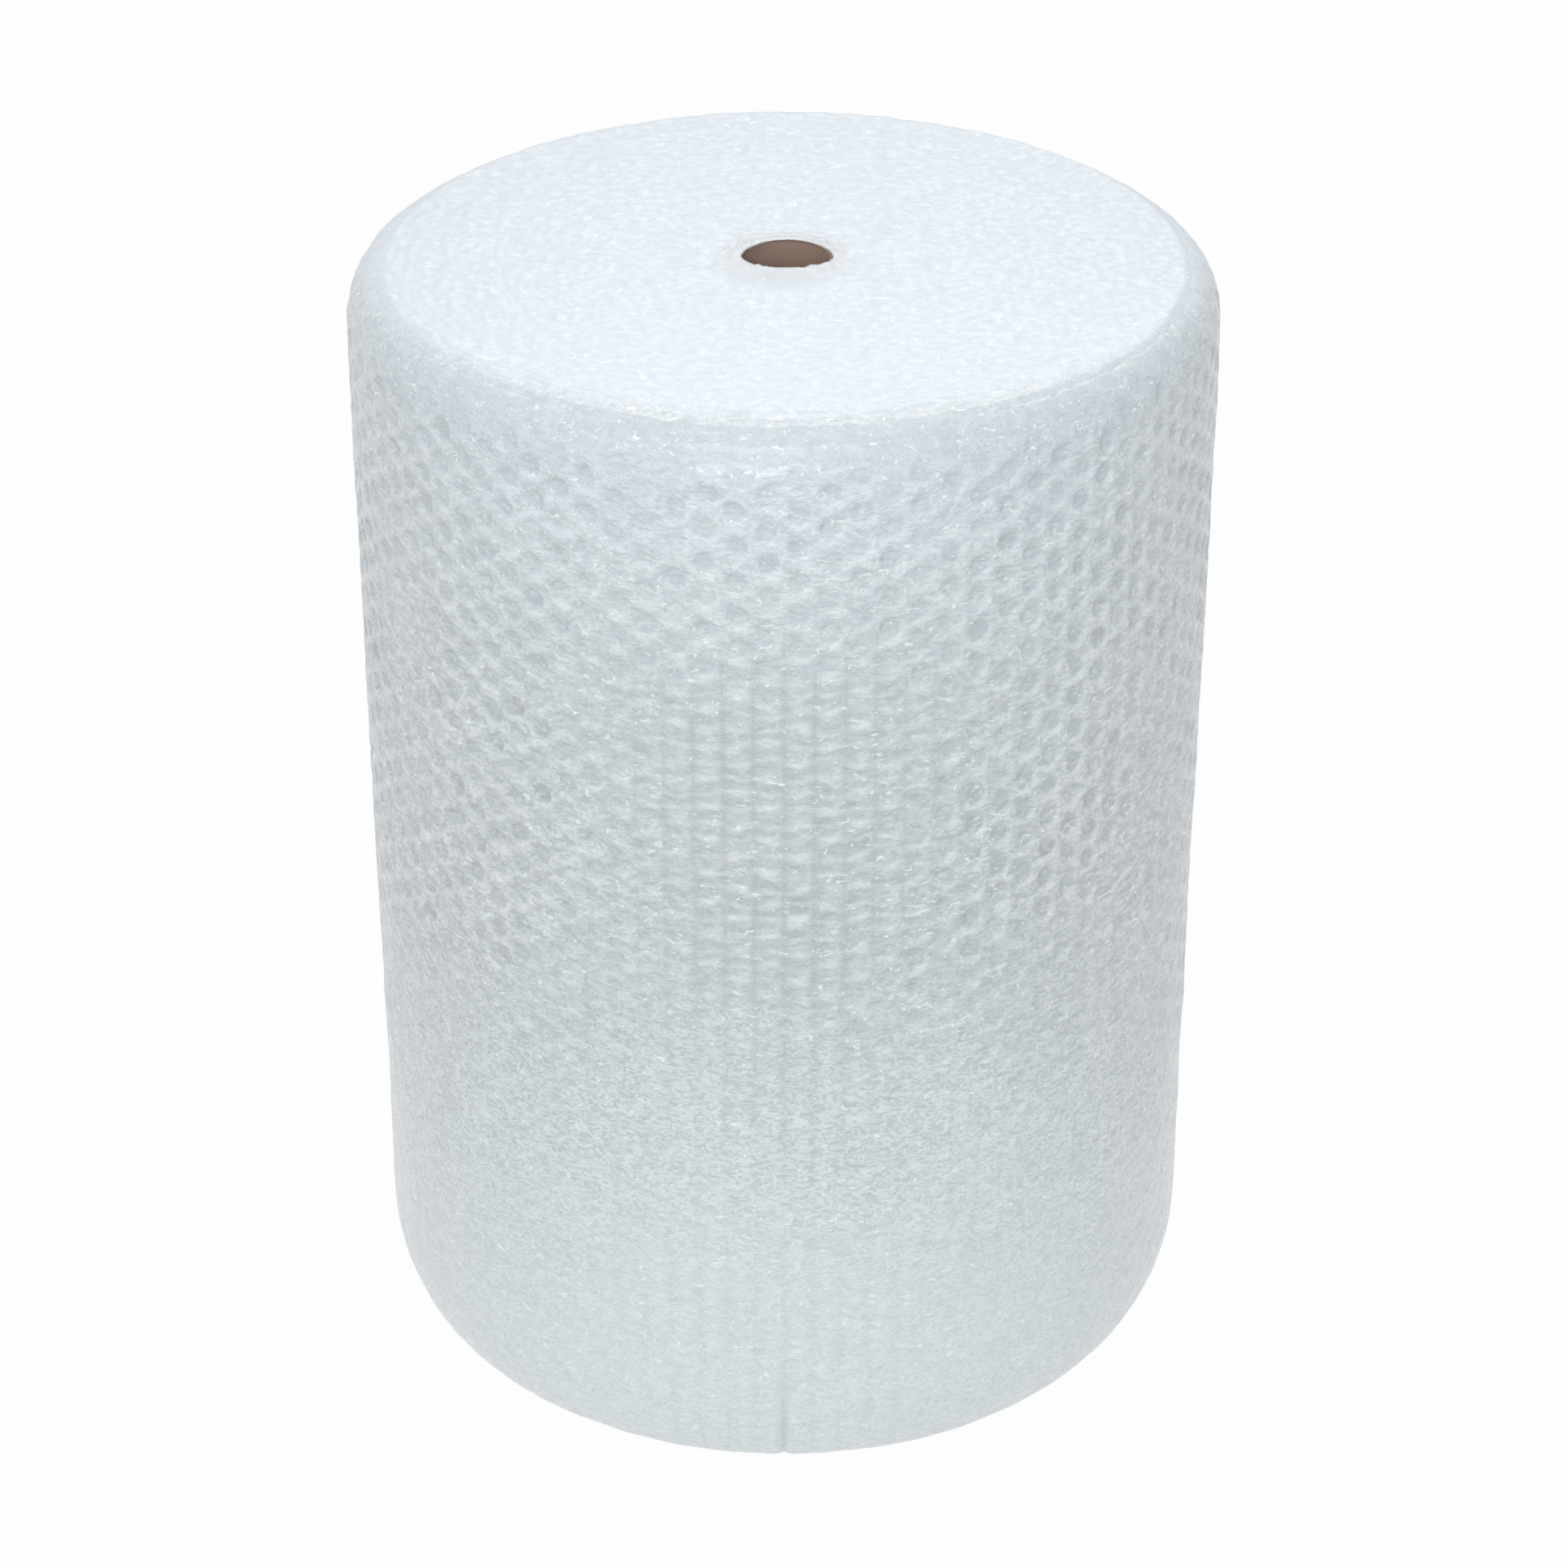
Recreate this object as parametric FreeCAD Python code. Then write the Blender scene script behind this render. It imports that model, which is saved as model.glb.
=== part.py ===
"""A roll of large bubble wrap, wound on a cardboard core and standing on its end."""

import FreeCAD, Part
import math
import os

from FreeCAD import Vector

# Driving dimensions, in millimetres
film_width = 1000.0  # the film's width, which is the roll's height on its end
roll_diameter = 730.0  # over the bubbles of the outer turn
turn_thickness = 8.25  # one turn of film, with its bubbles
turn_edge_height = 3.0  # how far a turn's edge stands out of the gaps beside it
bubble_column_pitch = 24.4  # between two columns of bubbles, around the outer turn
bubble_column_depth = 2.2  # how far a column stands out of the gaps beside it
core_bore = 76.0
core_wall = 5.0
film_clearance = 0.3  # between the core and the first turn
hole_rim = 1.2  # the flat rim round the hole, before the first turn's edge rises

# The soft shoulders at the two ends: how far in they round, and over what height
top_round_width = 30.0
top_round_height = 38.0
bottom_round_width = 46.0
bottom_round_height = 86.0

# How finely the round forms are divided into flat facets
round_bands = 3
turn_sides = 48

# Sizes that follow from these
roll_radius = roll_diameter / 2
core_radius = core_bore / 2 + core_wall
film_inner_radius = core_radius + film_clearance
turn_foot = film_width - turn_edge_height
column_pairs = round(math.pi * roll_diameter / bubble_column_pitch / 2)
column_gap_share = 1 - bubble_column_depth / roll_radius
column_shares = [column_gap_share, 1.0] * (2 * column_pairs)
turn_shares = [1.0] * turn_sides
up = Vector(0, 0, 1)
base_centre = Vector(0, 0, 0)


def ring(shares, radius, height):
    """The corners of one level outline, from the front round to the right.

    Each corner lies at its share of the radius. Outlines with the same shares are scaled
    copies of each other, so the facets between two of them are flat.
    """
    corners = []
    for corner, share in enumerate(shares):
        angle = 2 * math.pi * corner / len(shares) - math.pi / 2
        reach = radius * share
        corners.append(Vector(reach * math.cos(angle), reach * math.sin(angle), height))
    return corners


def outline(corners):
    return Part.makePolygon(corners + corners[:1])


def bands(rings):
    """The flat facets that join each ring to the next one."""
    facets = []
    for near, far in zip(rings, rings[1:]):
        for here in range(len(near)):
            after = (here + 1) % len(near)
            facets.append(Part.Face(outline([near[here], near[after], far[after], far[here]])))
    return facets


def shoulder(end_height, round_width, round_height):
    """The rings of one rounded end, from its end face to the straight wall.

    round_height is negative for the end at the top.
    """
    rings = []
    for band in range(round_bands + 1):
        turn = math.pi / 2 * band / round_bands
        radius = roll_radius - round_width * (1 - math.sin(turn))
        height = end_height + round_height * (1 - math.cos(turn))
        rings.append(ring(column_shares, radius, height))
    return rings


def outer_turn():
    """The wall: a flute for each column of bubbles, rounded in at the bottom and the top."""
    bottom = shoulder(0.0, bottom_round_width, bottom_round_height)
    top = shoulder(turn_foot, top_round_width, -top_round_height)
    return bottom + top[::-1]


def turn_edges():
    """The rings of the top face: each turn's edge rises to a crest between two gaps."""
    first_foot = film_inner_radius / math.cos(math.pi / turn_sides) + hole_rim
    last_foot = (roll_radius - top_round_width) * column_gap_share
    turns = int((last_foot - first_foot) / turn_thickness)
    rings = [ring(turn_shares, first_foot, turn_foot)]
    for turn in range(turns):
        foot = first_foot + turn * turn_thickness
        rings.append(ring(turn_shares, foot + turn_thickness / 2, film_width))
        rings.append(ring(turn_shares, foot + turn_thickness, turn_foot))
    return rings


def bubble_film_roll():
    """All the turns of film, as one solid with the hole for the core through it."""
    wall = outer_turn()
    edges = turn_edges()
    base = Part.Face(outline(wall[0]))
    centre = Part.Face(outline(edges[0]))
    shoulder_rim = Part.Face(outline(wall[-1])).cut(Part.Face(outline(edges[-1])))
    skin = Part.makeShell(bands(wall) + shoulder_rim.Faces + bands(edges) + [centre, base])
    skin.sewShape()
    hole = Part.makeCylinder(film_inner_radius, film_width, base_centre, up)
    return Part.makeSolid(skin).cut(hole)


def cardboard_core():
    """The tube that the film is wound on, as long as the film is wide and open from end to end."""
    tube = Part.makeCylinder(core_radius, film_width, base_centre, up)
    bore = Part.makeCylinder(core_bore / 2, film_width, base_centre, up)
    return tube.cut(bore)


def single_solid(shape):
    """The one solid that a piece consists of."""
    if len(shape.Solids) != 1 or not shape.isValid():
        raise ValueError("expected one valid solid")
    return shape.Solids[0]


os.makedirs("parts", exist_ok=True)
pieces = {"bubble_film_roll": bubble_film_roll(), "cardboard_core": cardboard_core()}
for node, shape in pieces.items():
    single_solid(shape).exportStep(f"parts/{node}.step")
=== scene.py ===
import math

import bpy
import numpy as np
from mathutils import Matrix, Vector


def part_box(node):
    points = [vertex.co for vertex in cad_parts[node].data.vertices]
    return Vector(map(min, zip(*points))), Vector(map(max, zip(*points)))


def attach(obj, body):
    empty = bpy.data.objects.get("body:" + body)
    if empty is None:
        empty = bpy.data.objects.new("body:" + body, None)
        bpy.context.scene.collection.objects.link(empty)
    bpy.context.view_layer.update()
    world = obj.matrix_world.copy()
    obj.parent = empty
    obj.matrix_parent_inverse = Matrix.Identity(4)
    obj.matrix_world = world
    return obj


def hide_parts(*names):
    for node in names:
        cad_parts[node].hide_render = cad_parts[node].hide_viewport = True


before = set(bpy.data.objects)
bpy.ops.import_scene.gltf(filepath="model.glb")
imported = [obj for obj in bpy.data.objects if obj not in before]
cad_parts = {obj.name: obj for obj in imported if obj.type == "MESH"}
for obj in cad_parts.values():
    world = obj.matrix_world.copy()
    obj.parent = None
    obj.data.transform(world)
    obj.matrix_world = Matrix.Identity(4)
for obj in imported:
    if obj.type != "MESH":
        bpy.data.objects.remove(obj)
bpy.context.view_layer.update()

film_low, film_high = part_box("bubble_film_roll")
core_low, core_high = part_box("cardboard_core")

# Sizes in metres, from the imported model
ROLL_RADIUS = film_high.x
ROLL_HEIGHT = film_high.z
CORE_RADIUS = core_high.x

# The rounded ends and the turns, as the film solid has them
TOP_ROUND_WIDTH = 0.030
TOP_ROUND_HEIGHT = 0.038
BASE_ROUND_WIDTH = 0.046
BASE_ROUND_HEIGHT = 0.086
TURN_THICKNESS = 0.00825
TURN_EDGE_HEIGHT = 0.003
FILM_CLEARANCE = 0.0003

# The bubbles' lattice: columns round the roll, and bubbles up each column
COLUMN_PITCH = 0.0244
BUBBLE_PITCH = 0.0294
COLUMNS = 2 * round(math.pi * ROLL_RADIUS / COLUMN_PITCH)
COLUMN_ANGLE = 2 * math.pi / COLUMNS
ROUND = 2 * math.pi * ROLL_RADIUS
FRONT = -math.pi / 2
BUBBLE_RADIUS = 0.0108
BUBBLE_REACH_MAX = 0.0113  # keeps a bubble clear of the columns beside it
BUBBLE_RISE_MAX = 0.0132  # and of the bubbles above and below it
BUBBLE_DEPTH = 0.0026
BUBBLE_SIDES = 12
TUCK = 0.03  # how far the outer turn goes on under each end face

# What the film's colours follow
SMOOTH_TOP_RADIUS = 0.360
SMOOTH_TOP_BACK = 0.05  # how far behind the axis the smooth top's middle lies
FILM_EDGES = (  # the height of a film's edge, the haze it adds above, and how pale its line is
    (0.905, 0.09, 0.16), (0.795, 0.06, 0.12), (0.47, 0.0, 0.10), (0.205, 0.0, 0.10),
)


# Shapes shared by the pieces
def mesh_object(name, points, quads, tris, material, smooth=True):
    """A mesh from arrays of points, four-sided faces and three-sided faces."""
    used, order = np.unique(np.concatenate([quads.ravel(), tris.ravel()]), return_inverse=True)
    quads = order[: quads.size].reshape(-1, 4)
    tris = order[quads.size:].reshape(-1, 3)
    mesh = bpy.data.meshes.new(name)
    mesh.vertices.add(len(used))
    mesh.vertices.foreach_set("co", points[used].astype(np.float32).ravel())
    corners = np.concatenate([quads.ravel(), tris.ravel()]).astype(np.int32)
    sizes = np.concatenate([np.full(len(quads), 4), np.full(len(tris), 3)]).astype(np.int32)
    mesh.loops.add(len(corners))
    mesh.loops.foreach_set("vertex_index", corners)
    mesh.polygons.add(len(sizes))
    mesh.polygons.foreach_set("loop_start", np.concatenate([[0], np.cumsum(sizes)[:-1]]).astype(np.int32))
    mesh.polygons.foreach_set("use_smooth", np.full(len(sizes), smooth))
    mesh.update(calc_edges=True)
    mesh.validate()
    mesh.materials.append(material)
    piece = bpy.data.objects.new(name, mesh)
    bpy.context.scene.collection.objects.link(piece)
    return piece, used


def point_values(piece, name, values):
    """Keeps one number for each point of a piece, for its material to read."""
    layer = piece.data.attributes.new(name, "FLOAT", "POINT")
    layer.data.foreach_set("value", values.astype(np.float32))


def eased(value, low, high):
    """0 below low, 1 above high, and a smooth way between."""
    share = np.clip((value - low) / (high - low), 0, 1)
    return share * share * (3 - 2 * share)


def patches(first, second, size, seed, loop=1.0):
    """Smooth random patches of about one size, from -1 to 1. Along first they join up after loop."""
    columns, rows = round(loop / size), 512
    table = np.random.default_rng(seed).uniform(-1, 1, (columns, rows))
    across, along = first / loop * columns, second / size
    column, row = np.floor(across).astype(int), np.floor(along).astype(int)
    right, up = eased(across - column, 0, 1), eased(along - row, 0, 1)
    near = table[column % columns, row % rows] * (1 - right) + table[(column + 1) % columns, row % rows] * right
    row = row + 1
    far = table[column % columns, row % rows] * (1 - right) + table[(column + 1) % columns, row % rows] * right
    return near * (1 - up) + far * up


def creases(first, second, sizes, seed, loop=1.0):
    """Crumpled film, from 0 on its sharp ridges down to about -1: creases of each size, finer ones lower."""
    total = np.zeros(np.broadcast(first, second).shape)
    for order, size in enumerate(sizes):
        total = total - size / sizes[0] * np.abs(patches(first, second, size, seed + order, loop))
    return total


# The outside of the film, from the top face down to the base
def wall_outline():
    """The section of the outer turn: distance down it, radius and height."""
    turn = np.linspace(0, math.pi / 2, 40)
    top_radius = ROLL_RADIUS - TOP_ROUND_WIDTH * (1 - np.sin(turn))
    top_level = ROLL_HEIGHT - TURN_EDGE_HEIGHT - TOP_ROUND_HEIGHT * (1 - np.cos(turn))
    base_radius = ROLL_RADIUS - BASE_ROUND_WIDTH * (1 - np.sin(turn))
    base_level = BASE_ROUND_HEIGHT * (1 - np.cos(turn))
    radius = np.concatenate([[top_radius[0] - TUCK], top_radius, base_radius[::-1], [base_radius[0] - TUCK]])
    level = np.concatenate([[top_level[0] - 0.003], top_level, base_level[::-1], [0.003]])
    step = np.hypot(np.diff(radius), np.diff(level))
    distance = np.concatenate([[0], np.cumsum(step)]) - TUCK
    return distance, radius, level


WALL_DISTANCE, WALL_OUTLINE_RADIUS, WALL_OUTLINE_LEVEL = wall_outline()
WALL_LENGTH = WALL_DISTANCE[-1] - TUCK


def wall_points(around, down, lift):
    """Places points given by their distance round the roll, down its outside and out of it."""
    radius = np.interp(down, WALL_DISTANCE, WALL_OUTLINE_RADIUS)
    level = np.interp(down, WALL_DISTANCE, WALL_OUTLINE_LEVEL)
    ahead = 0.002
    slope_r = np.interp(down + ahead, WALL_DISTANCE, WALL_OUTLINE_RADIUS) - np.interp(
        down - ahead, WALL_DISTANCE, WALL_OUTLINE_RADIUS)
    slope_z = np.interp(down + ahead, WALL_DISTANCE, WALL_OUTLINE_LEVEL) - np.interp(
        down - ahead, WALL_DISTANCE, WALL_OUTLINE_LEVEL)
    length = np.maximum(np.hypot(slope_r, slope_z), 1e-9)
    radius = radius - lift * slope_z / length
    level = level + lift * slope_r / length
    angle = FRONT + around / ROLL_RADIUS
    return np.stack([radius * np.cos(angle), radius * np.sin(angle), level], axis=-1)


# The outer turn: one cell of film for each bubble
CENTRE = 0
FLOOR_RING = 1
SIDE_RING = FLOOR_RING + BUBBLE_SIDES
RIM_RING = SIDE_RING + BUBBLE_SIDES
GAP_RIGHT, GAP_LEFT, CORNER_RIGHT, CORNER_LEFT, GAP_UPPER, GAP_LOWER, ABOVE, CELL_POINTS = range(
    RIM_RING + BUBBLE_SIDES, RIM_RING + BUBBLE_SIDES + 8)
CORNER_REACH = COLUMN_PITCH - (COLUMN_PITCH**2 - BUBBLE_PITCH**2 / 4) / (2 * COLUMN_PITCH)


def lattice():
    """The bubbles' columns and rows, with their centres round and down the wall."""
    rows = int(WALL_LENGTH / BUBBLE_PITCH) + 4
    column, row = np.meshgrid(np.arange(COLUMNS), np.arange(rows), indexing="ij")
    around = (column + 0.5) * COLUMN_ANGLE * ROLL_RADIUS
    down = (row - 1.6 + 0.5 * (column % 2)) * BUBBLE_PITCH
    return column, row, around, down


def clearness(around, down):
    """How clearly the bubbles stand out: in patches above mid-height, and pressed flat at the ends and below."""
    across = (around + ROUND / 2) % ROUND - ROUND / 2
    right = eased(across, 0.05, 0.2) * (1 - eased(across, 0.38, 0.46))
    left = eased(-across, 0.08, 0.2) * (1 - eased(-across, 0.42, 0.5)) * (1 - eased(down, 0.25, 0.4))
    patch = 0.6 + 0.6 * patches(around, down, 0.13, 8, ROUND) + 0.35 * patches(around, down, 0.05, 10, ROUND)
    patch = patch + 0.3 * right + 0.25 * left
    upper = (0.1 + 0.9 * eased(down, 0.015, 0.06)) * (1 - 0.6 * eased(down, 0.46, 0.62))
    upper = upper * (1 - 0.4 * eased(down, 0.72, 0.84)) * (1 - 0.5 * slackness(around, down))
    return (0.35 + 0.65 * np.clip(patch, 0, 1)) * upper


def slackness(around, down):
    """How far the columns of bubbles show as upright rows with gaps between them."""
    across = (around + ROUND / 2) % ROUND - ROUND / 2
    facing = np.exp(-(across / 0.17) ** 2) + 0.5 * np.exp(-((np.abs(across) - ROUND / 2) / 0.3) ** 2)
    patch = 0.7 + 0.4 * patches(around, down, 0.09, 9, ROUND)
    return np.clip(facing * patch, 0, 1) * eased(down, 0.12, 0.24) * (1 - 0.35 * eased(down, 0.49, 0.56))


def cell_points(around, down, random):
    """Every cell's points: round the wall, down it, and how deep each lies in its bubble."""
    shape = around.shape + (CELL_POINTS,)
    across = np.zeros(shape)
    below = np.zeros(shape)
    depth = np.zeros(shape)
    lean = 0.0009 * np.clip(random.normal(0, 1, around.shape + (2,)), -2, 2)
    size = BUBBLE_RADIUS * random.normal(1.0, 0.06, around.shape)
    stretch = random.normal(1.0, 0.07, around.shape)
    half_width = np.minimum(size * stretch, (BUBBLE_REACH_MAX - np.abs(lean[..., 0])) / 1.03)
    half_height = np.minimum(size / stretch, (BUBBLE_RISE_MAX - np.abs(lean[..., 1])) / 1.03)
    clear = clearness(around, down)
    sunk = BUBBLE_DEPTH * random.uniform(0.45, 1.25, around.shape) * clear
    tilt = 0.0004 * np.clip(random.normal(0, 1, around.shape + (2,)), -2, 2) * clear[..., None]
    turn = 2 * math.pi * np.arange(BUBBLE_SIDES) / BUBBLE_SIDES
    for ring, reach, deep in ((FLOOR_RING, 0.58, 1.0), (SIDE_RING, 0.84, 0.60), (RIM_RING, 1.03, -0.05)):
        span = slice(ring, ring + BUBBLE_SIDES)
        across[..., span] = half_width[..., None] * reach * np.cos(turn)
        below[..., span] = -half_height[..., None] * reach * np.sin(turn)
        slope = tilt[..., :1] * np.cos(turn) + tilt[..., 1:] * np.sin(turn)
        buckle = 0.13 * sunk[..., None] * np.clip(random.normal(0, 1, around.shape + (BUBBLE_SIDES,)), -1.5, 1.5)
        depth[..., span] = sunk[..., None] * deep + (reach * slope + buckle) * (deep > 0)
    depth[..., CENTRE] = sunk * random.uniform(0.6, 1.1, around.shape)
    for point in range(GAP_RIGHT):
        across[..., point] += lean[..., 0]
        below[..., point] += lean[..., 1]
    half = COLUMN_PITCH / 2
    quarter = BUBBLE_PITCH / 4
    places = {
        GAP_RIGHT: (half, 0.0), GAP_LEFT: (-half, 0.0),
        CORNER_RIGHT: (CORNER_REACH, 0.0), CORNER_LEFT: (-CORNER_REACH, 0.0),
        GAP_UPPER: (half, -quarter), GAP_LOWER: (half, quarter), ABOVE: (0.0, -BUBBLE_PITCH / 2),
    }
    for point, (right, low) in places.items():
        across[..., point] = right
        below[..., point] = low
    return around[..., None] + across, down[..., None] + below, depth


def cell_faces(column, row):
    """The faces of every whole cell, as point numbers: first the four-sided ones, then the three-sided."""
    rows = row.shape[1]
    inner = (row > 0) & (row < rows - 1)
    column, row = column[inner], row[inner]
    odd = column % 2

    def point(side, rise, number):
        """A point of the cell itself (side 0) or of the neighbour on that side, up (-1) or down (1)."""
        across = (column + side) % COLUMNS
        if side:
            beside = row + np.where(odd == 1, 0, -1) + (1 if rise > 0 else 0)
        else:
            beside = row + rise
        return (across * rows + beside) * CELL_POINTS + number

    rim = [
        point(0, 0, GAP_RIGHT), point(0, 0, GAP_UPPER), point(1, -1, CORNER_LEFT), point(0, 0, ABOVE),
        point(-1, -1, CORNER_RIGHT), point(-1, -1, GAP_LOWER), point(0, 0, GAP_LEFT),
        point(-1, 1, GAP_UPPER), point(-1, 1, CORNER_RIGHT), point(0, 1, ABOVE),
        point(1, 1, CORNER_LEFT), point(0, 0, GAP_LOWER),
    ]
    quads, tris = [], []
    for side in range(BUBBLE_SIDES):
        after = (side + 1) % BUBBLE_SIDES
        tris.append([point(0, 0, CENTRE), point(0, 0, FLOOR_RING + side), point(0, 0, FLOOR_RING + after)])
        for inner_ring, outer_ring in ((FLOOR_RING, SIDE_RING), (SIDE_RING, RIM_RING)):
            quads.append([point(0, 0, inner_ring + side), point(0, 0, outer_ring + side),
                          point(0, 0, outer_ring + after), point(0, 0, inner_ring + after)])
        quads.append([point(0, 0, RIM_RING + side), rim[side], rim[after], point(0, 0, RIM_RING + after)])
    tris.append([rim[0], point(0, 0, CORNER_RIGHT), rim[1]])
    tris.append([rim[11], point(0, 0, CORNER_RIGHT), rim[0]])
    tris.append([rim[6], point(0, 0, CORNER_LEFT), rim[7]])
    tris.append([rim[5], point(0, 0, CORNER_LEFT), rim[6]])
    quads = np.stack([np.stack(q, -1) for q in quads], 1)
    tris = np.stack([np.stack(t, -1) for t in tris], 1)
    return quads, tris, column


def column_gap(around):
    """How near each point is to a gap between two columns: 0 mid-column, 1 in the gap."""
    place = (around / (COLUMN_ANGLE * ROLL_RADIUS)) % 1.0
    return (2 * np.abs(place - 0.5)) ** 2


def free_edge(around, down):
    """The outer turn's free edge, a line up the front from the base."""
    across = (around + ROUND / 2) % ROUND - ROUND / 2
    return np.exp(-(across / 0.004) ** 2) * eased(down, WALL_LENGTH - 0.20, WALL_LENGTH - 0.02)


def wall_lift(around, down):
    """How far the film stands out of the wall's outline at rest, without the bubbles."""
    near_top = 1 - eased(down, 0, 0.07)
    near_base = eased(down, WALL_LENGTH - 0.13, WALL_LENGTH)
    crease = (0.0006 + 0.0005 * slackness(around, down)) * (1 - 0.8 * near_base)
    sway = 0.0009 * patches(around, down, 0.16, 11, ROUND) + 0.0006 * patches(around, down, 0.06, 12, ROUND)
    crumple = 0.0009 * creases(around, down, (0.024, 0.013), 13, ROUND)
    calm = (1 - 0.6 * near_base) * (1 - 0.5 * near_top)
    return (sway + crumple) * calm - crease * column_gap(around) - 0.0022 * free_edge(around, down)


def bubble_wall(material):
    """The outer turn of film, as a front and a back half."""
    random = np.random.default_rng(3)
    column, row, centre_around, centre_down = lattice()
    around, down, depth = cell_points(centre_around, centre_down, random)
    lift = wall_lift(around, down) - depth
    points = wall_points(around, down, lift).reshape(-1, 3)
    quads, tris, cell_column = cell_faces(column, row)
    inside, rim = np.zeros(CELL_POINTS), np.zeros(CELL_POINTS)
    inside[:SIDE_RING] = 1.0
    inside[SIDE_RING:RIM_RING] = 0.65
    rim[RIM_RING:RIM_RING + BUBBLE_SIDES] = 1.0
    turn = 2 * math.pi * np.arange(BUBBLE_SIDES) / BUBBLE_SIDES
    # Which side of each bubble's rim gets painted light: the lower right takes a painted highlight, the upper left
    # painted shade.
    facing = np.zeros(CELL_POINTS)
    facing[SIDE_RING:RIM_RING] = facing[RIM_RING:GAP_RIGHT] = np.cos(turn + 0.9)
    strength = clearness(around, down) * random.uniform(0.45, 1.0, column.shape)[..., None]
    tone = np.broadcast_to(random.uniform(0.0, 1.0, column.shape)[..., None], around.shape)
    values = {
        # Painted shade in each bubble's hollow, partly the bubble's own greyer depth, and a painted highlight on the
        # ring round it; the tone of each bubble differs at random.
        "in_bubble": inside * strength, "painted_rim_highlight": rim * strength, "bubble_tone": tone,
        # Painted highlight on each rim's lower right and painted shade on its upper left.
        "painted_highlight_rim": np.maximum(facing, 0) ** 2 * strength, "painted_shade_rim": np.maximum(-facing, 0) ** 2 * strength,
        # Painted shade in the gaps between the slack columns and in the free edge's crease.
        "column_gap": np.maximum(column_gap(around) * slackness(around, down), 1.6 * free_edge(around, down)),
        "slack": slackness(around, down),
    }
    angle = (cell_column + 0.5) / COLUMNS
    front = (angle < 0.25) | (angle >= 0.75)
    pieces = []
    for name, chosen in (("outer_turn_front", front), ("outer_turn_back", ~front)):
        piece, used = mesh_object(name, points, quads[chosen].reshape(-1, 4), tris[chosen].reshape(-1, 3), material)
        for label, value in values.items():
            point_values(piece, label, value.reshape(-1)[used])
        pieces.append(piece)
    return pieces


# The turns' edges at the two ends
END_SIDES = 600
SKIRT = ((0.0, 0.0), (0.0004, -0.002), (0.0012, -0.006), (0.0016, -0.014))


def end_face(name, material, top):
    """One end of the wound film: low, soft ridges turn by turn in creased film, with a lip round the core."""
    seed = 40 if top else 60
    inner = CORE_RADIUS + FILM_CLEARANCE
    shoulder = ROLL_RADIUS - (TOP_ROUND_WIDTH if top else BASE_ROUND_WIDTH)
    outer = shoulder + 0.013
    rings = int((outer - inner) / (TURN_THICKNESS / 4))
    angle = np.arange(END_SIDES) * 2 * math.pi / END_SIDES
    reach, turn = np.meshgrid(np.linspace(inner, outer, rings), angle, indexing="ij")
    along, across = reach * np.cos(turn) + 0.5, reach * np.sin(turn) + 0.5
    wander = 0.7 * patches(along, across, 0.07, seed) + 0.4 * patches(along, across, 0.022, seed + 1)
    winding = (reach - inner) / TURN_THICKNESS - turn / (2 * math.pi) + wander
    ridge = np.abs(np.sin(math.pi * winding))
    height = 0.0002 + 0.0002 * patches(along, across, 0.03, seed + 2)
    sunk = height * (1 - ridge) - 0.0009 * creases(along, across, (0.014, 0.008), seed + 3)
    sunk = np.maximum(sunk + 0.0008 + 0.0006 * patches(along, across, 0.09, seed + 5), 0)
    round_width, round_height = (TOP_ROUND_WIDTH, TOP_ROUND_HEIGHT) if top else (BASE_ROUND_WIDTH, BASE_ROUND_HEIGHT)
    front, left = 0.5 - 0.5 * np.sin(turn), 0.5 - 0.5 * np.cos(turn)
    share = np.clip((reach - shoulder) / round_width, 0, 1)
    tucked = eased(reach, outer - 0.008 - 0.017 * front, outer)
    sunk = sunk + round_height * (1 - np.sqrt(1 - share**2)) + 0.005 * tucked
    level = ROLL_HEIGHT - sunk
    if top:
        near_core = 1 - eased(reach, inner, inner + 0.024)
        ragged = 1 + 0.07 * patches(along, across, 0.016, seed + 6) + 0.05 * patches(along, across, 0.006, seed + 7)
        level = level + near_core * ragged * (0.0015 + 0.0045 * front**2)
        pull = 0.0020 + 0.0096 * eased(front, 0.45, 1.0) + 0.0026 * (1 - front) ** 3 + 0.0055 * left**2
        reach = reach - near_core * pull * ragged
        over_core = 1 - eased(reach, CORE_RADIUS + 0.001, CORE_RADIUS + 0.005)
        level = level + over_core * np.maximum(ROLL_HEIGHT + 0.0008 - level, 0)
    hang = 1 - 0.85 * eased(0.041 - reach[0], 0, 0.003)
    outward = np.maximum(inner, reach[0])
    back = [(np.minimum(reach[0] + out, outward), level[0] + drop * hang) for out, drop in SKIRT[:0:-1]]
    reach = np.concatenate([[row for row, _ in back], reach])
    level = np.concatenate([[row for _, row in back], level])
    turn = np.broadcast_to(angle, reach.shape)
    if not top:
        level = ROLL_HEIGHT - level
    points = np.stack([reach * np.cos(turn), reach * np.sin(turn), level], -1).reshape(-1, 3)
    here = np.arange(len(reach) - 1)[:, None] * END_SIDES + np.arange(END_SIDES)[None, :]
    after = np.arange(len(reach) - 1)[:, None] * END_SIDES + (np.arange(END_SIDES)[None, :] + 1) % END_SIDES
    order = [here, here + END_SIDES, after + END_SIDES, after]
    quads = np.stack(order if top else order[::-1], -1).reshape(-1, 4)
    return mesh_object(name, points, quads, np.zeros((0, 3), int), material)[0]


# Materials
def new_material(name):
    material = bpy.data.materials.new(name)
    material.use_nodes = True
    nodes = material.node_tree.nodes
    return material, nodes, material.node_tree.links, nodes["Principled BSDF"]


def noise(nodes, links, scale, detail, vector, roughness=0.5, distortion=0.0, kind="FBM"):
    """A noise texture over the piece, and its value from 0 to 1."""
    texture = nodes.new("ShaderNodeTexNoise")
    texture.noise_type = kind
    texture.inputs["Scale"].default_value = scale
    texture.inputs["Detail"].default_value = detail
    texture.inputs["Roughness"].default_value = roughness
    texture.inputs["Distortion"].default_value = distortion
    links.new(vector, texture.inputs["Vector"])
    return texture.outputs["Fac"]


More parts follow.
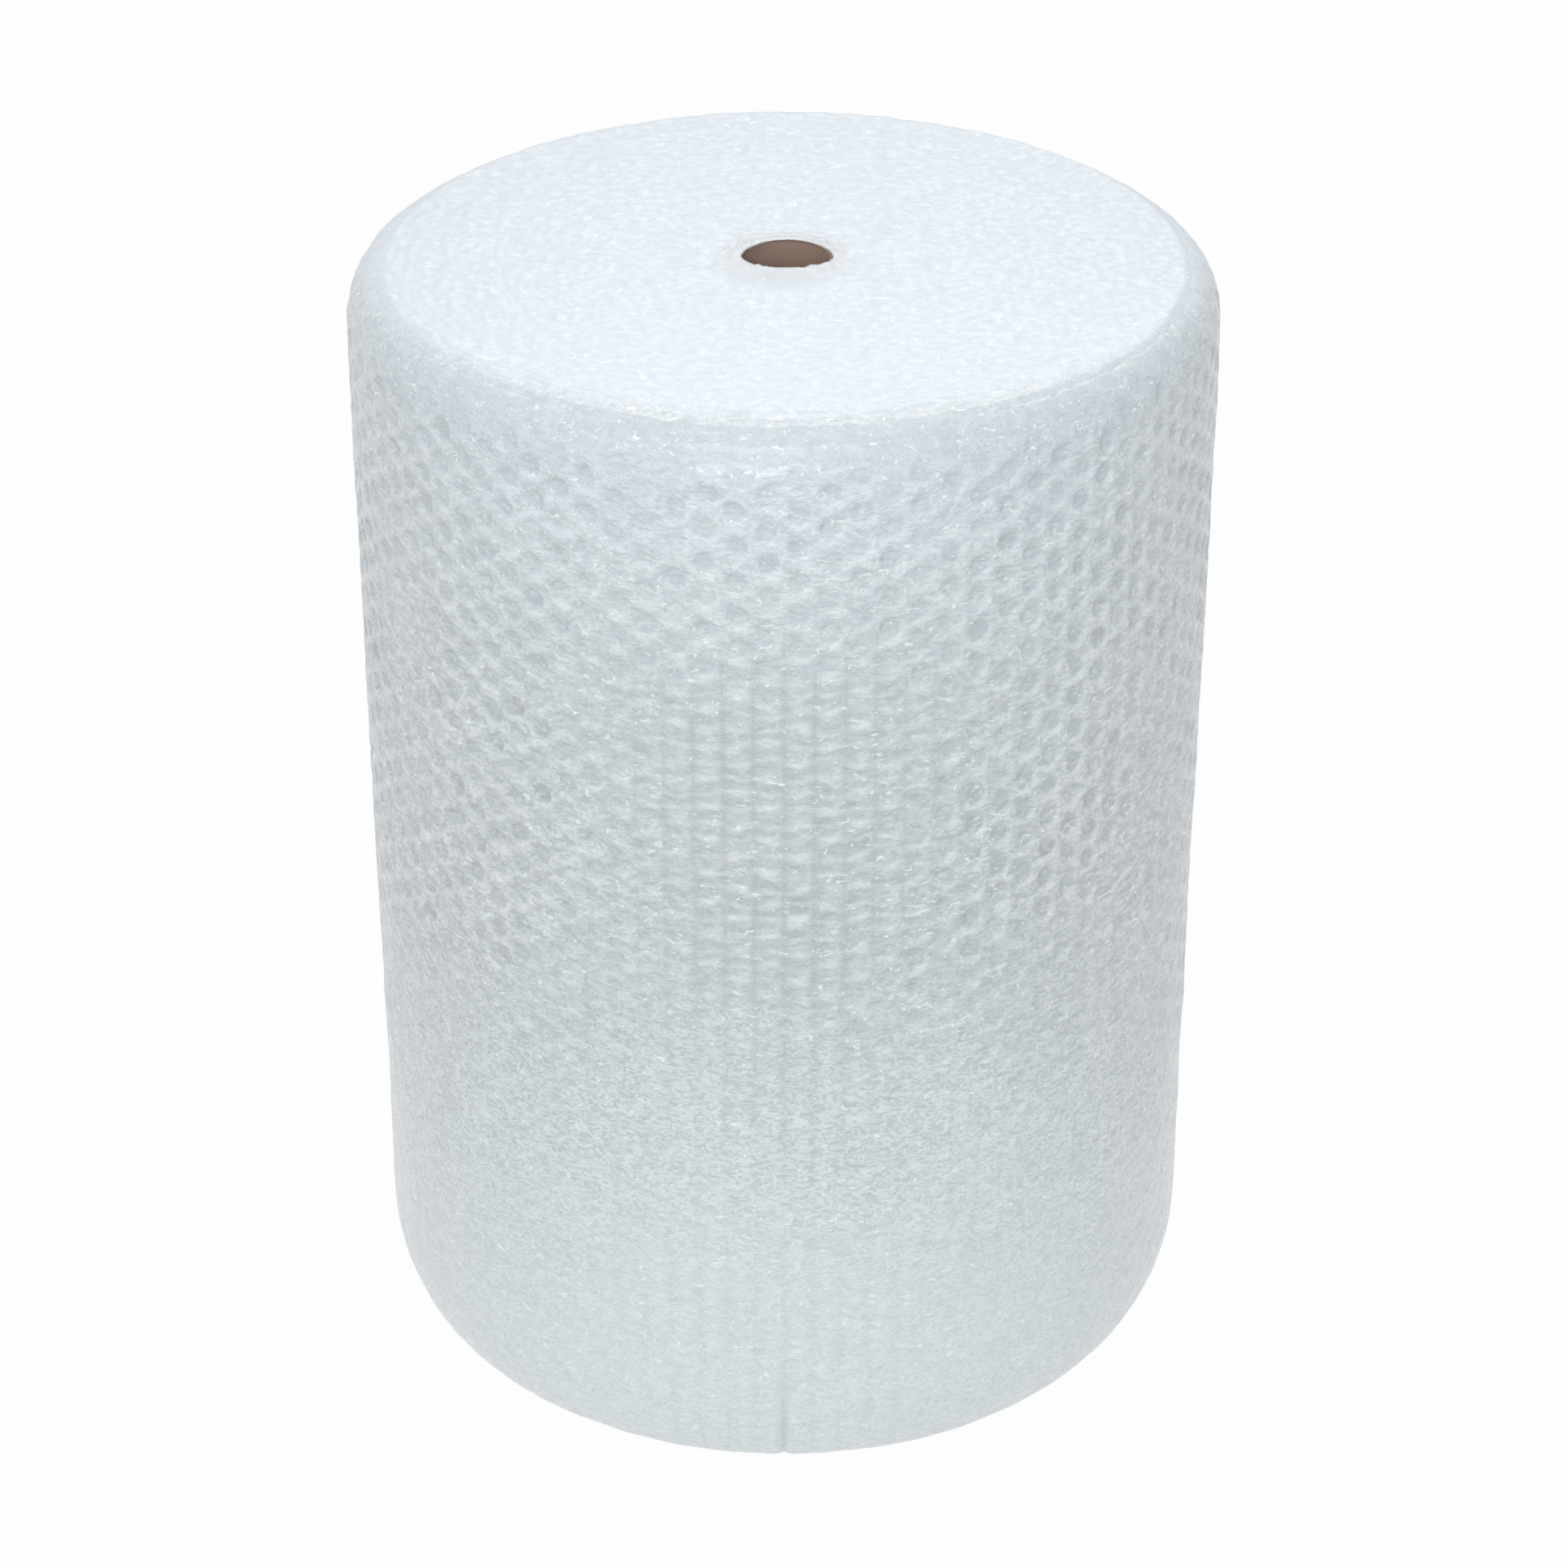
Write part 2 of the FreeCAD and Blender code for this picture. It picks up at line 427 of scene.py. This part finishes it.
def object_place(nodes, links, scale=(1, 1, 1), shift=(0, 0, 0)):
    """Object coordinates, stretched by scale and then shifted."""
    place = nodes.new("ShaderNodeTexCoord")
    stretch = nodes.new("ShaderNodeMapping")
    stretch.inputs["Scale"].default_value = scale
    stretch.inputs["Location"].default_value = shift
    links.new(place.outputs["Object"], stretch.inputs["Vector"])
    return stretch.outputs["Vector"]


def object_height(nodes, links):
    split = nodes.new("ShaderNodeSeparateXYZ")
    links.new(object_place(nodes, links), split.inputs["Vector"])
    return split.outputs["Z"]


def object_side(nodes, links):
    split = nodes.new("ShaderNodeSeparateXYZ")
    links.new(object_place(nodes, links), split.inputs["Vector"])
    return split.outputs["X"]


def distance_from_axis(nodes, links, back=0.0):
    """How far each point is, seen from above, from the roll's axis or from a line behind it."""
    place = object_place(nodes, links, (1, 1, 0), (0, -back, 0))
    length = nodes.new("ShaderNodeVectorMath")
    length.operation = "LENGTH"
    links.new(place, length.inputs[0])
    return length.outputs["Value"]


def put(links, socket, value):
    """Gives a socket a value, or links it to another socket."""
    if isinstance(value, bpy.types.NodeSocket):
        links.new(value, socket)
    else:
        socket.default_value = value


def mix(nodes, links, share, first, second, blend="MIX"):
    """A colour between two, or blended from two. Each of the three may be a value or a socket."""
    node = nodes.new("ShaderNodeMix")
    node.data_type = "RGBA"
    node.blend_type = blend
    put(links, node.inputs["Factor"], share)
    put(links, node.inputs[6], first)
    put(links, node.inputs[7], second)
    return node.outputs[2]


def ramp(nodes, links, value, low, high, start=0.0, end=1.0):
    """value mapped from low..high to start..end, and kept within them."""
    node = nodes.new("ShaderNodeMapRange")
    node.inputs["From Min"].default_value = low
    node.inputs["From Max"].default_value = high
    node.inputs["To Min"].default_value = start
    node.inputs["To Max"].default_value = end
    links.new(value, node.inputs["Value"])
    return node.outputs["Result"]


def math_node(nodes, links, operation, first, second=0.0):
    node = nodes.new("ShaderNodeMath")
    node.operation = operation
    put(links, node.inputs[0], first)
    put(links, node.inputs[1], second)
    return node.outputs[0]


def attribute(nodes, name):
    node = nodes.new("ShaderNodeAttribute")
    node.attribute_name = name
    return node.outputs["Fac"]


def bump(nodes, links, height, strength, distance, normal=None):
    node = nodes.new("ShaderNodeBump")
    put(links, node.inputs["Strength"], strength)
    node.inputs["Distance"].default_value = distance
    links.new(height, node.inputs["Height"])
    if normal is not None:
        links.new(normal, node.inputs["Normal"])
    return node.outputs["Normal"]


def haze(nodes, links, height, place):
    """The pale layers over the wall: thicker towards the top, in steps with a faint line at each film's edge."""
    wobble = math_node(nodes, links, "MULTIPLY", noise(nodes, links, 9, 2, place), 0.012)
    level = math_node(nodes, links, "ADD", height, wobble)
    total = ramp(nodes, links, height, 0.62, 0.92, 0.0, 0.22)
    for edge, step, line in FILM_EDGES:
        above = ramp(nodes, links, level, edge + 0.006, edge + 0.007, 0.0, step)
        total = math_node(nodes, links, "ADD", total, above)
        off = math_node(nodes, links, "ABSOLUTE", math_node(nodes, links, "SUBTRACT", level, edge + 0.006))
        total = math_node(nodes, links, "ADD", total, ramp(nodes, links, off, 0.0015, 0.0, 0.0, line))
    return total


def painted_highlight_dashes(nodes, links, height, place):
    """Painted highlights: level dashes up the slack columns, about half a bubble apart and uneven."""
    uneven = math_node(nodes, links, "MULTIPLY", noise(nodes, links, 30, 2, place), 0.030)
    level = math_node(nodes, links, "ADD", height, uneven)
    phase = math_node(nodes, links, "MULTIPLY", level, math.tau / (BUBBLE_PITCH / 2))
    return ramp(nodes, links, math_node(nodes, links, "SINE", phase), -0.1, 0.9)


def wall_colour(nodes, links, height, place, flat):
    """Milky clear film: pale wisps where the layers touch, and the bubbles seen through it. It carries painted light
    too: shade in the bubbles' hollows, the column gaps and the top shoulder, lit and shaded rims, highlight dashes
    and glints, and shading by height and side.
    """
    slack = attribute(nodes, "slack")
    wisps = ramp(nodes, links, noise(nodes, links, 80, 3, flat, 0.58, 1.3), 0.40, 0.64)
    # In the slack columns the pale wisps give way to painted highlight dashes.
    rows = math_node(nodes, links, "MULTIPLY", painted_highlight_dashes(nodes, links, height, place), 0.6)
    rows = math_node(nodes, links, "ADD", rows, math_node(nodes, links, "MULTIPLY", wisps, 0.4))
    pale = mix(nodes, links, slack, wisps, rows)
    film = mix(nodes, links, pale, (0.57, 0.61, 0.635, 1), (0.84, 0.88, 0.90, 1))
    # The bubbles' discs are greyer: painted shade in their hollows, partly their own deeper look through the film.
    disc = mix(nodes, links, attribute(nodes, "bubble_tone"), (0.42, 0.455, 0.48, 1), (0.62, 0.66, 0.68, 1))
    colour = mix(nodes, links, math_node(nodes, links, "MULTIPLY", attribute(nodes, "in_bubble"), 0.58), film, disc)
    # A painted highlight: a pale ring round each bubble.
    rim = math_node(nodes, links, "MULTIPLY", attribute(nodes, "painted_rim_highlight"), 0.30)
    colour = mix(nodes, links, rim, colour, (0.90, 0.94, 0.95, 1))
    # Painted shade on the upper-left side of each bubble's rim, and a painted highlight on its lower-right side.
    colour = mix(nodes, links, math_node(nodes, links, "MULTIPLY", attribute(nodes, "painted_shade_rim"), 0.45), colour,
                 (0.36, 0.39, 0.41, 1))
    colour = mix(nodes, links, math_node(nodes, links, "MULTIPLY", attribute(nodes, "painted_highlight_rim"), 0.50), colour,
                 (0.95, 0.98, 1.0, 1))
    colour = mix(nodes, links, haze(nodes, links, height, place), colour, (0.80, 0.855, 0.90, 1))
    # Painted shade on the top shoulder, strongest towards the front, holding back the light it gets from above.
    by_front = ramp(nodes, links, distance_from_axis(nodes, links, 0.1), 0.36, 0.45, 0.15, 0.68)
    painted_shoulder_shade = math_node(nodes, links, "MULTIPLY", ramp(nodes, links, height, 0.955, 0.985), by_front)
    colour = mix(nodes, links, painted_shoulder_shade, colour, (0.60, 0.655, 0.69, 1))
    # Painted light and shade in the lower wall: greyer just below mid-height and towards the left and right, lighter
    # near the base, under fine scribbles.
    side = object_side(nodes, links)
    broad = math_node(nodes, links, "MULTIPLY", noise(nodes, links, 5, 2, place), 0.24)
    uneven = math_node(nodes, links, "ADD", height, math_node(nodes, links, "SUBTRACT", broad, 0.12))
    uneven = math_node(nodes, links, "ADD", uneven, math_node(nodes, links, "MULTIPLY", side, side))
    painted_shading_tone = mix(nodes, links, ramp(nodes, links, uneven, 0.46, 0.20), (0.53, 0.575, 0.595, 1), (0.73, 0.78, 0.795, 1))
    scribble = ramp(nodes, links, noise(nodes, links, 85, 3, flat, 0.56, 2.2), 0.40, 0.58)
    soft = mix(nodes, links, scribble, painted_shading_tone, (0.85, 0.895, 0.905, 1))
    low_down = ramp(nodes, links, uneven, 0.56, 0.38, 0.0, 0.85)
    colour = mix(nodes, links, low_down, colour, soft)
    # Painted shade in the gaps between the slack columns and in the free edge's crease.
    gap = math_node(nodes, links, "MULTIPLY", attribute(nodes, "column_gap"), ramp(nodes, links, height, 0.3, 0.55, 0.35, 0.7))
    colour = mix(nodes, links, gap, colour, (0.50, 0.535, 0.555, 1))
    # Painted highlights: short white glints in the wall's colour.
    painted_glint_streaks = ramp(nodes, links, noise(nodes, links, 120, 3, flat, 0.6, 2.0), 0.64, 0.70)
    return mix(nodes, links, painted_glint_streaks, colour, (0.98, 1.0, 1.0, 1))


def end_colour(nodes, links, place):
    """The film's wound edges: whiter, where many turns lie behind each other."""
    colour = mix(nodes, links, noise(nodes, links, 120, 4, place, 0.6), (0.737, 0.797, 0.855, 1), (0.832, 0.882, 0.930, 1))
    # Painted highlights: small white sparkles on the wound edges.
    painted_sparkles = ramp(nodes, links, noise(nodes, links, 260, 3, place, 0.6, 1.0), 0.64, 0.74)
    colour = mix(nodes, links, painted_sparkles, colour, (0.95, 0.98, 1.0, 1))
    reach = distance_from_axis(nodes, links)
    by_core = ramp(nodes, links, reach, 0.066, 0.044)
    by_core = math_node(nodes, links, "MULTIPLY", by_core, noise(nodes, links, 60, 3, place))
    colour = mix(nodes, links, by_core, colour, (0.74, 0.73, 0.72, 1))
    # Painted shade: greyer lines between the turns' edges round the back of the hole.
    wander = math_node(nodes, links, "MULTIPLY", noise(nodes, links, 24, 3, place), 0.060)
    winding = math_node(nodes, links, "MULTIPLY", math_node(nodes, links, "ADD", reach, wander), math.tau / 0.009)
    edges = ramp(nodes, links, math_node(nodes, links, "SINE", winding), 0.60, 1.0, 0.0, 0.60)
    edges = math_node(nodes, links, "MULTIPLY", edges, ramp(nodes, links, reach, 0.072, 0.058))
    behind = ramp(nodes, links, distance_from_axis(nodes, links, 0.058), 0.070, 0.054)
    edges = math_node(nodes, links, "MULTIPLY", edges, behind)
    edges = math_node(nodes, links, "MULTIPLY", edges, ramp(nodes, links, noise(nodes, links, 45, 2, place), 0.30, 0.48))
    return mix(nodes, links, edges, colour, (0.52, 0.51, 0.50, 1))


def end_share(nodes, links, height, place):
    """1 on the two end faces and 0 on the wall. The top's smooth part reaches less far to the front."""
    ragged = math_node(nodes, links, "MULTIPLY", noise(nodes, links, 50, 3, place), 0.024)
    reach = math_node(nodes, links, "ADD", distance_from_axis(nodes, links, SMOOTH_TOP_BACK), ragged)
    within = ramp(nodes, links, reach, SMOOTH_TOP_RADIUS + 0.020, SMOOTH_TOP_RADIUS - 0.014)
    top = math_node(nodes, links, "MULTIPLY", within, ramp(nodes, links, height, 0.955, 0.98))
    return math_node(nodes, links, "MAXIMUM", top, ramp(nodes, links, height, 0.012, 0.006))


def bubble_film():
    """Clear film in many layers, in one material for the wall and the two ends."""
    material, nodes, links, shader = new_material("bubble_film")
    place = object_place(nodes, links)
    flat = object_place(nodes, links, (1, 1, 2.0))
    height = object_height(nodes, links)
    at_end = end_share(nodes, links, height, place)
    wall = wall_colour(nodes, links, height, place, flat)
    colour = mix(nodes, links, at_end, wall, end_colour(nodes, links, place))
    # Painted highlights: white glint specks in the base colour, where the coat is raised as well.
    glints = ramp(nodes, links, noise(nodes, links, 95, 2, flat, 0.5, 1.4), 0.66, 0.685)
    colour = mix(nodes, links, glints, colour, (0.94, 0.985, 1.0, 1))
    links.new(colour, shader.inputs["Base Color"])
    roughness = ramp(nodes, links, noise(nodes, links, 130, 2, place), 0.3, 0.7, 0.18, 0.42)
    roughness = math_node(nodes, links, "ADD", roughness, ramp(nodes, links, at_end, 0.0, 1.0, 0.0, 0.11))
    links.new(roughness, shader.inputs["Roughness"])
    shader.inputs["Specular IOR Level"].default_value = 0.6
    shader.inputs["Sheen Weight"].default_value = 0.12
    on_wall = ramp(nodes, links, at_end, 0.0, 1.0, 1.0, 0.03)
    coat = math_node(nodes, links, "MULTIPLY", ramp(nodes, links, glints, 0.0, 1.0, 0.25, 1.0), on_wall)
    links.new(coat, shader.inputs["Coat Weight"])
    shader.inputs["Coat Roughness"].default_value = 0.10
    fine = bump(nodes, links, noise(nodes, links, 420, 3, flat, 0.6), ramp(nodes, links, at_end, 0.0, 1.0, 0.3, 0.26), 0.0007)
    strength = ramp(nodes, links, height, 0.12, 0.5, 0.40, 0.7)
    strength = math_node(nodes, links, "MULTIPLY", strength, on_wall)
    coarse = bump(nodes, links, noise(nodes, links, 100, 4, flat, 0.6, 1.2), strength, 0.0026, fine)
    links.new(coarse, shader.inputs["Normal"])
    return material


def kraft_board():
    """The core's paper, wound in a spiral strip."""
    material, nodes, links, shader = new_material("kraft_board")
    place = object_place(nodes, links)
    fibres = noise(nodes, links, 900, 4, object_place(nodes, links, (1, 1, 0.35)), 0.7)
    colour = mix(nodes, links, fibres, (0.33, 0.225, 0.175, 1), (0.46, 0.335, 0.27, 1))
    patches_of_tone = ramp(nodes, links, noise(nodes, links, 25, 2, place), 0.35, 0.7)
    colour = mix(nodes, links, patches_of_tone, colour, (0.38, 0.27, 0.215, 1))
    cut_end = ramp(nodes, links, object_height(nodes, links), 0.9985, 0.9995)
    colour = mix(nodes, links, cut_end, colour, (0.25, 0.17, 0.13, 1))
    links.new(colour, shader.inputs["Base Color"])
    shader.inputs["Roughness"].default_value = 0.85
    links.new(bump(nodes, links, fibres, 0.3, 0.0004), shader.inputs["Normal"])
    return material


# The stage, the light and the camera
PHOTO_SIDE = 1932
PHOTO_FOCAL = 5194.5
CAMERA_DISTANCE = 3.2547
CAMERA_HEIGHT = 2.3802
CAMERA_PITCH = math.radians(30.09)
SENSOR = 36.0


def add_camera():
    data = bpy.data.cameras.new("camera")
    data.sensor_width = SENSOR
    data.lens = PHOTO_FOCAL / PHOTO_SIDE * SENSOR
    camera = bpy.data.objects.new("camera", data)
    camera.location = (0, -CAMERA_DISTANCE, CAMERA_HEIGHT)
    camera.rotation_euler = (math.pi / 2 - CAMERA_PITCH, 0, 0)
    bpy.context.scene.collection.objects.link(camera)
    bpy.context.scene.camera = camera


def camera_white(nodes, links):
    """1 for what the camera or a glossy or clear surface sees, and 0 for the light that falls on things."""
    path = nodes.new("ShaderNodeLightPath")
    seen = math_node(nodes, links, "MAXIMUM", path.outputs["Is Camera Ray"], path.outputs["Is Glossy Ray"])
    return math_node(nodes, links, "MAXIMUM", seen, path.outputs["Is Transmission Ray"])


def add_world():
    world = bpy.data.worlds.new("studio")
    world.use_nodes = True
    bpy.context.scene.world = world
    nodes, links = world.node_tree.nodes, world.node_tree.links
    light = nodes["Background"]
    light.inputs["Color"].default_value = (0.93, 0.97, 1.0, 1)
    light.inputs["Strength"].default_value = 0.57
    white = nodes.new("ShaderNodeBackground")
    white.inputs["Color"].default_value = (1, 1, 1, 1)
    white.inputs["Strength"].default_value = 1.0
    choose = nodes.new("ShaderNodeMixShader")
    links.new(camera_white(nodes, links), choose.inputs[0])
    links.new(light.outputs[0], choose.inputs[1])
    links.new(white.outputs[0], choose.inputs[2])
    links.new(choose.outputs[0], nodes["World Output"].inputs["Surface"])


def add_floor():
    material, nodes, links, shader = new_material("studio_floor")
    shader.inputs["Base Color"].default_value = (0.96, 0.96, 0.96, 1)
    shader.inputs["Roughness"].default_value = 0.9
    shader.inputs["Specular IOR Level"].default_value = 0.0
    glow = nodes.new("ShaderNodeEmission")
    glow.inputs["Strength"].default_value = 1.0
    choose = nodes.new("ShaderNodeMixShader")
    links.new(math_node(nodes, links, "MULTIPLY", camera_white(nodes, links), 0.96), choose.inputs[0])
    links.new(shader.outputs[0], choose.inputs[1])
    links.new(glow.outputs[0], choose.inputs[2])
    links.new(choose.outputs[0], nodes["Material Output"].inputs["Surface"])
    half = 12.0
    corners = np.array([[-half, -half, 0], [half, -half, 0], [half, half, 0], [-half, half, 0]])
    floor, _ = mesh_object("floor", corners, np.array([[0, 1, 2, 3]]), np.zeros((0, 3), int), material, False)


def add_lamp(name, place, target, size, power, colour=(1, 1, 1)):
    data = bpy.data.lights.new(name, "AREA")
    data.shape = "RECTANGLE"
    data.size, data.size_y = size
    data.energy = power
    data.color = colour
    lamp = bpy.data.objects.new(name, data)
    lamp.location = place
    away = np.array(place, float) - np.array(target, float)
    level = math.hypot(away[0], away[1])
    lamp.rotation_euler = (math.atan2(level, away[2]), 0, math.atan2(away[1], away[0]) + math.pi / 2)
    bpy.context.scene.collection.objects.link(lamp)


def add_lights():
    add_lamp("overhead", (-0.1, -0.6, 2.5), (0, -0.1, 1.0), (0.8, 0.6), 6.5)
    add_lamp("front", (-0.35, -3.3, 2.5), (0, 0, 0.45), (1.4, 1.2), 35)
    add_lamp("back", (0.2, 3.0, 2.5), (0, 0, 1.0), (1.6, 0.8), 10)


film = bubble_film()
pieces = bubble_wall(film) + [end_face("turn_edges_top", film, True), end_face("turn_edges_base", film, False)]
for piece in pieces:
    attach(piece, "root")
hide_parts("bubble_film_roll")

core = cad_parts["cardboard_core"]
core.data.materials.clear()
core.data.materials.append(kraft_board())

add_floor()
add_world()
add_lights()
add_camera()
bpy.context.scene.view_settings.view_transform = "Standard"
